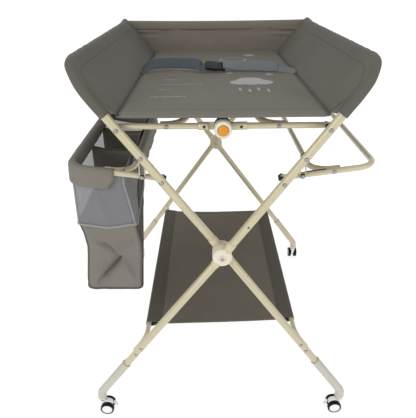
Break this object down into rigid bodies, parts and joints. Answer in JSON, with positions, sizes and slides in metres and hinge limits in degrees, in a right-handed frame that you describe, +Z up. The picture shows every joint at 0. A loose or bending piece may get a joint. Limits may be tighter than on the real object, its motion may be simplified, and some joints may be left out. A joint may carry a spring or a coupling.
{
  "type": "changing table",
  "caption": "Folding changing table on casters: crossed tube legs, cloth bed with raised sides and strap, shelf, and swing-up side rails, one with a basket.",
  "frame": {"origin": "on the floor under the middle of the table", "axes": "+X to the right-hand side as seen from the front, +Y to the rear, +Z up"},
  "size_m": [0.7028, 0.8367, 0.9673],
  "materials": {
    "tube": "satin champagne paint",
    "plastic": "cream moulded plastic",
    "dark_plastic": "black moulded plastic",
    "white_plastic": "white moulded plastic",
    "steel": "zinc-plated",
    "button": "orange moulded plastic",
    "rubber": "black tread",
    "cloth": "taupe woven polyester",
    "webbing": "grey-blue webbing"
  },
  "bodies": {
    "outer_frame": {"outer_frame_top_tube": "tube", "outer_frame_lower_leg_front": "tube", "outer_frame_lower_leg_rear": "tube", "outer_frame_hub_front": "plastic", "outer_frame_hub_rear": "plastic", "pivot_bolt_front": "steel", "pivot_bolt_rear": "steel", "foot_elbow_front_left": "plastic", "foot_elbow_rear_left": "plastic", "shelf_tube_left": "tube", "shelf_cloth": "cloth", "wing_right": "cloth", "end_panel": "cloth"},
    "inner_frame": {"inner_frame_top_tube": "tube", "inner_frame_lower_leg_front": "tube", "inner_frame_lower_leg_rear": "tube", "inner_frame_hub_front": "plastic", "inner_frame_hub_rear": "plastic", "foot_elbow_front_right": "plastic", "foot_elbow_rear_right": "plastic", "shelf_tube_right": "tube", "wing_left": "cloth"},
    "crossbar_hinge": {"hinge_housing_front": "plastic", "hinge_housing_rear": "plastic", "buckle_socket": "dark_plastic"},
    "release_button": {"release_button": "button"},
    "buckle_tongue": {"buckle_tongue": "dark_plastic"},
    "rail_left": {"side_rail_left": "tube", "rail_cross_tube_left": "tube", "basket": "cloth"},
    "rail_right": {"side_rail_right": "tube", "rail_cross_tube_right": "tube"},
    "crossbar_left": {"crossbar_front_left": "tube", "crossbar_rear_left": "tube", "hinge_knuckle_front_left": "dark_plastic", "hinge_knuckle_rear_left": "dark_plastic", "bed_support_left": "tube", "bed_left": "cloth", "strap_left": "webbing"},
    "link_front_left": {"rail_link_front_left": "tube"},
    "caster_front_left": {"caster_fork_front_left": "white_plastic"},
    "wheels_front_left": {"caster_wheels_front_left": "rubber"},
    "link_rear_left": {"rail_link_rear_left": "tube"},
    "caster_rear_left": {"caster_fork_rear_left": "white_plastic"},
    "wheels_rear_left": {"caster_wheels_rear_left": "rubber"},
    "brake_front_left": {"caster_brake_front_left": "white_plastic"},
    "crossbar_right": {"crossbar_front_right": "tube", "crossbar_rear_right": "tube", "hinge_knuckle_front_right": "dark_plastic", "hinge_knuckle_rear_right": "dark_plastic", "bed_support_right": "tube", "bed_right": "cloth", "strap_right": "webbing"},
    "link_front_right": {"rail_link_front_right": "tube"},
    "caster_front_right": {"caster_fork_front_right": "white_plastic"},
    "wheels_front_right": {"caster_wheels_front_right": "rubber"},
    "link_rear_right": {"rail_link_rear_right": "tube"},
    "caster_rear_right": {"caster_fork_rear_right": "white_plastic"},
    "wheels_rear_right": {"caster_wheels_rear_right": "rubber"},
    "brake_front_right": {"caster_brake_front_right": "white_plastic"}
  },
  "joints": [
    {"name": "fold", "type": "hinge", "parent": "outer_frame", "child": "inner_frame", "pos_m": [0, 0, 0.5335], "axis": [0, 1, 0], "range_deg": [0, 48], "deforming": ["bed_left", "bed_right", "strap_left", "strap_right", "end_panel", "shelf_cloth"]},
    {"name": "crossbar_right_pivot", "type": "hinge", "parent": "outer_frame", "child": "crossbar_right", "pos_m": [0.21689, 0, 0.83203], "axis": [0, 1, 0], "range_deg": [-45.3, 0]},
    {"name": "crossbar_hinge_turn", "type": "hinge", "parent": "crossbar_right", "child": "crossbar_hinge", "pos_m": [0, 0, 0.83203], "axis": [0, 1, 0], "range_deg": [0, 69.3]},
    {"name": "crossbar_left_turn", "type": "hinge", "parent": "crossbar_hinge", "child": "crossbar_left", "pos_m": [0, 0, 0.83203], "axis": [0, 1, 0], "range_deg": [0, 69.3]},
    {"name": "button_press", "type": "slide", "parent": "crossbar_hinge", "child": "release_button", "axis": [0, 1, 0], "range_m": [0, 0.004], "stiffness_N_per_m": 400, "springref_m": -0.002},
    {"name": "buckle_pull", "type": "slide", "parent": "crossbar_hinge", "child": "buckle_tongue", "axis": [1, 0, 0], "range_m": [0, 0.02]},
    {"name": "rail_swing_left", "type": "hinge", "parent": "inner_frame", "child": "rail_left", "pos_m": [-0.13108, 0, 0.71391], "axis": [0, 1, 0], "range_deg": [0, 25]},
    {"name": "link_swing_front_left", "type": "hinge", "parent": "inner_frame", "child": "link_front_left", "pos_m": [-0.17222, 0, 0.77054], "axis": [0, 1, 0], "range_deg": [-10, 0]},
    {"name": "link_swing_rear_left", "type": "hinge", "parent": "inner_frame", "child": "link_rear_left", "pos_m": [-0.17222, 0, 0.77054], "axis": [0, 1, 0], "range_deg": [-10, 0]},
    {"name": "rail_swing_right", "type": "hinge", "parent": "outer_frame", "child": "rail_right", "pos_m": [0.13108, 0, 0.71391], "axis": [0, -1, 0], "range_deg": [0, 25]},
    {"name": "link_swing_front_right", "type": "hinge", "parent": "outer_frame", "child": "link_front_right", "pos_m": [0.17222, 0, 0.77054], "axis": [0, -1, 0], "range_deg": [-10, 0]},
    {"name": "link_swing_rear_right", "type": "hinge", "parent": "outer_frame", "child": "link_rear_right", "pos_m": [0.17222, 0, 0.77054], "axis": [0, -1, 0], "range_deg": [-10, 0]},
    {"name": "swivel_front_left", "type": "hinge", "parent": "outer_frame", "child": "caster_front_left", "pos_m": [-0.334, -0.388, 0.05], "axis": [0, 0, 1], "continuous": true},
    {"name": "wheel_spin_front_left", "type": "hinge", "parent": "caster_front_left", "child": "wheels_front_left", "pos_m": [-0.322, -0.388, 0.019], "axis": [0, 1, 0], "continuous": true},
    {"name": "brake_press_left", "type": "hinge", "parent": "caster_front_left", "child": "brake_front_left", "pos_m": [-0.3028, -0.388, 0.031], "axis": [0, -1, 0], "range_deg": [0, 20]},
    {"name": "swivel_front_right", "type": "hinge", "parent": "inner_frame", "child": "caster_front_right", "pos_m": [0.334, -0.388, 0.05], "axis": [0, 0, 1], "continuous": true},
    {"name": "wheel_spin_front_right", "type": "hinge", "parent": "caster_front_right", "child": "wheels_front_right", "pos_m": [0.322, -0.388, 0.019], "axis": [0, 1, 0], "continuous": true},
    {"name": "brake_press_right", "type": "hinge", "parent": "caster_front_right", "child": "brake_front_right", "pos_m": [0.3028, -0.388, 0.031], "axis": [0, 1, 0], "range_deg": [0, 20]},
    {"name": "swivel_rear_left", "type": "hinge", "parent": "outer_frame", "child": "caster_rear_left", "pos_m": [-0.334, 0.388, 0.05], "axis": [0, 0, 1], "continuous": true},
    {"name": "wheel_spin_rear_left", "type": "hinge", "parent": "caster_rear_left", "child": "wheels_rear_left", "pos_m": [-0.334, 0.4, 0.019], "axis": [1, 0, 0], "continuous": true},
    {"name": "swivel_rear_right", "type": "hinge", "parent": "inner_frame", "child": "caster_rear_right", "pos_m": [0.334, 0.388, 0.05], "axis": [0, 0, 1], "continuous": true},
    {"name": "wheel_spin_rear_right", "type": "hinge", "parent": "caster_rear_right", "child": "wheels_rear_right", "pos_m": [0.334, 0.4, 0.019], "axis": [1, 0, 0], "continuous": true}
  ],
  "couplings": [
    {"joint": "crossbar_right_pivot", "follows": "fold", "ratio": -0.94344},
    {"joint": "crossbar_hinge_turn", "follows": "fold", "ratio": 1.4434},
    {"joint": "crossbar_left_turn", "follows": "fold", "ratio": 1.4434},
    {"joint": "link_swing_front_left", "follows": "rail_swing_left", "ratio": -0.39},
    {"joint": "link_swing_rear_left", "follows": "rail_swing_left", "ratio": -0.39},
    {"joint": "link_swing_front_right", "follows": "rail_swing_right", "ratio": -0.39},
    {"joint": "link_swing_rear_right", "follows": "rail_swing_right", "ratio": -0.39}
  ]
}
